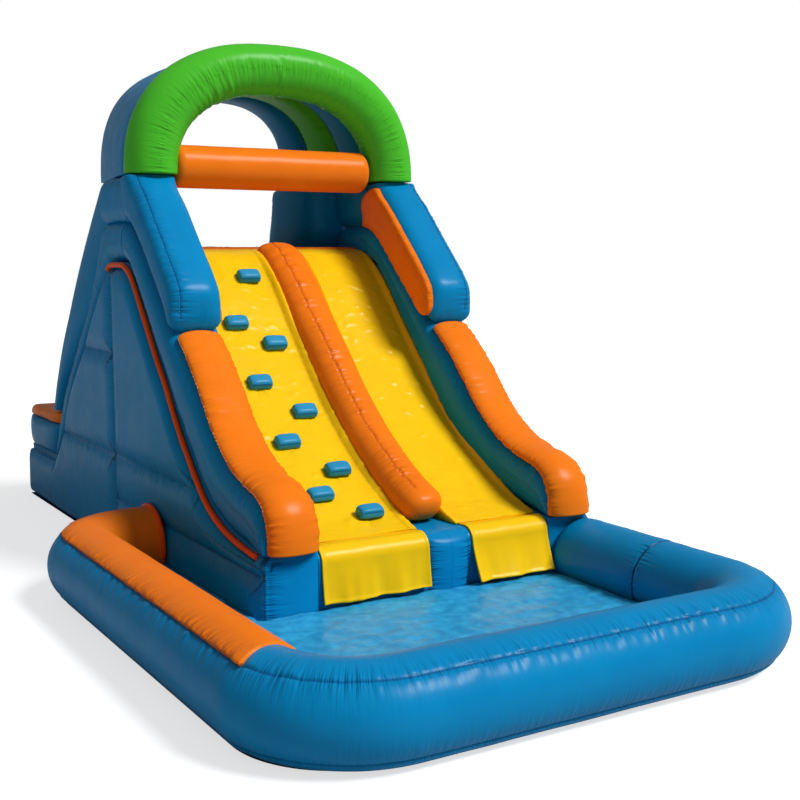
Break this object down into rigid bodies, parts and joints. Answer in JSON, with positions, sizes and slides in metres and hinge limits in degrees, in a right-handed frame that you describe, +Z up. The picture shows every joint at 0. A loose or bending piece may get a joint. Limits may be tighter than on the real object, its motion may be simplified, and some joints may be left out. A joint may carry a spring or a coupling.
{
  "type": "inflatable water slide",
  "caption": "Inflatable water slide: a climbing lane and a slide lane side by side under a vaulted arch, running down into a splash pool ringed by a fat tube.",
  "frame": {"origin": "centre of the bounding box in plan, on the ground", "axes": "+Z up, the splash pool towards -Y, the tower's back towards +Y, +X to the right of someone who faces the lanes"},
  "size_m": [2.35, 5.1582, 2.5973],
  "materials": {
    "sky_blue_vinyl": "glossy coated cloth, puckered along its seams",
    "orange_vinyl": "glossy coated cloth, puckered along its seams",
    "green_vinyl": "glossy coated cloth, creased at its bends",
    "yellow_vinyl": "glossy coated cloth, lightly wrinkled",
    "red_orange_piping": "satin coated cloth over cord",
    "deep_blue_vinyl": "satin coated cloth over foam",
    "ground_cloth": "matt coated ground cloth",
    "black_webbing": "woven webbing",
    "zinc_steel": "zinc plated"
  },
  "bodies": {
    "tower": {"ground_sheet": "ground_cloth", "pool_floor": "sky_blue_vinyl", "pool_left_tube": "sky_blue_vinyl", "pool_left_top": "orange_vinyl", "pool_front_tube": "sky_blue_vinyl", "pool_right_tube": "sky_blue_vinyl", "pool_collar": "red_orange_piping", "base_front_tube": "sky_blue_vinyl", "rear_lower_tube": "sky_blue_vinyl", "side_wall_left": "sky_blue_vinyl", "side_wall_right": "sky_blue_vinyl", "side_piping_left": "red_orange_piping", "side_piping_right": "red_orange_piping", "front_limb_left": "sky_blue_vinyl", "front_limb_right": "sky_blue_vinyl", "rear_limb_left": "sky_blue_vinyl", "rear_limb_right": "sky_blue_vinyl", "bolster_left": "orange_vinyl", "bolster_right": "orange_vinyl", "head_cushion_left": "sky_blue_vinyl", "head_cushion_right": "sky_blue_vinyl", "head_panel_left": "orange_vinyl", "head_panel_right": "orange_vinyl", "lintel_left": "sky_blue_vinyl", "lintel_right": "sky_blue_vinyl", "rear_leg_left": "sky_blue_vinyl", "rear_leg_right": "sky_blue_vinyl", "rear_step_tube": "sky_blue_vinyl", "rear_step_top": "orange_vinyl", "rear_wall": "sky_blue_vinyl", "deck": "orange_vinyl", "climbing_lane": "yellow_vinyl", "slide_lane": "yellow_vinyl", "lane_divider": "orange_vinyl", "climbing_hold_1": "deep_blue_vinyl", "climbing_hold_2": "deep_blue_vinyl", "climbing_hold_3": "deep_blue_vinyl", "climbing_hold_4": "deep_blue_vinyl", "climbing_hold_5": "deep_blue_vinyl", "climbing_hold_6": "deep_blue_vinyl", "climbing_hold_7": "deep_blue_vinyl", "climbing_hold_8": "deep_blue_vinyl", "climbing_hold_9": "deep_blue_vinyl", "arch_front_band": "green_vinyl", "arch_roof": "sky_blue_vinyl", "arch_lining_1": "sky_blue_vinyl", "arch_lining_2": "green_vinyl", "arch_lining_3": "sky_blue_vinyl", "crossbar": "orange_vinyl", "blower_sleeve": "sky_blue_vinyl", "vent_ring": "deep_blue_vinyl", "anchor_tab_left": "black_webbing", "anchor_tab_right": "black_webbing"},
    "climbing_flap": {"climbing_apron": "yellow_vinyl"},
    "slide_flap": {"slide_apron": "yellow_vinyl"},
    "vent_lid": {"vent_cap": "deep_blue_vinyl"},
    "left_ring": {"anchor_ring_left": "zinc_steel"},
    "right_ring": {"anchor_ring_right": "zinc_steel"}
  },
  "joints": [
    {"name": "climbing_apron_lift", "type": "hinge", "parent": "tower", "child": "climbing_flap", "pos_m": [-0.0625, -1.1011, 0.3546], "axis": [-1, 0, 0], "range_deg": [0, 90]},
    {"name": "slide_apron_lift", "type": "hinge", "parent": "tower", "child": "slide_flap", "pos_m": [0.6175, -1.1011, 0.3546], "axis": [-1, 0, 0], "range_deg": [0, 90]},
    {"name": "vent_cap_lift", "type": "hinge", "parent": "tower", "child": "vent_lid", "pos_m": [-0.115, 2.3615, 0.235], "axis": [1, 0, 0], "range_deg": [0, 100]},
    {"name": "left_ring_swing", "type": "hinge", "parent": "tower", "child": "left_ring", "pos_m": [-0.455, 2.3512, 0.15], "axis": [1, 0, 0], "range_deg": [-8, 100]},
    {"name": "right_ring_swing", "type": "hinge", "parent": "tower", "child": "right_ring", "pos_m": [0.945, 2.3512, 0.15], "axis": [1, 0, 0], "range_deg": [-8, 100]}
  ]
}
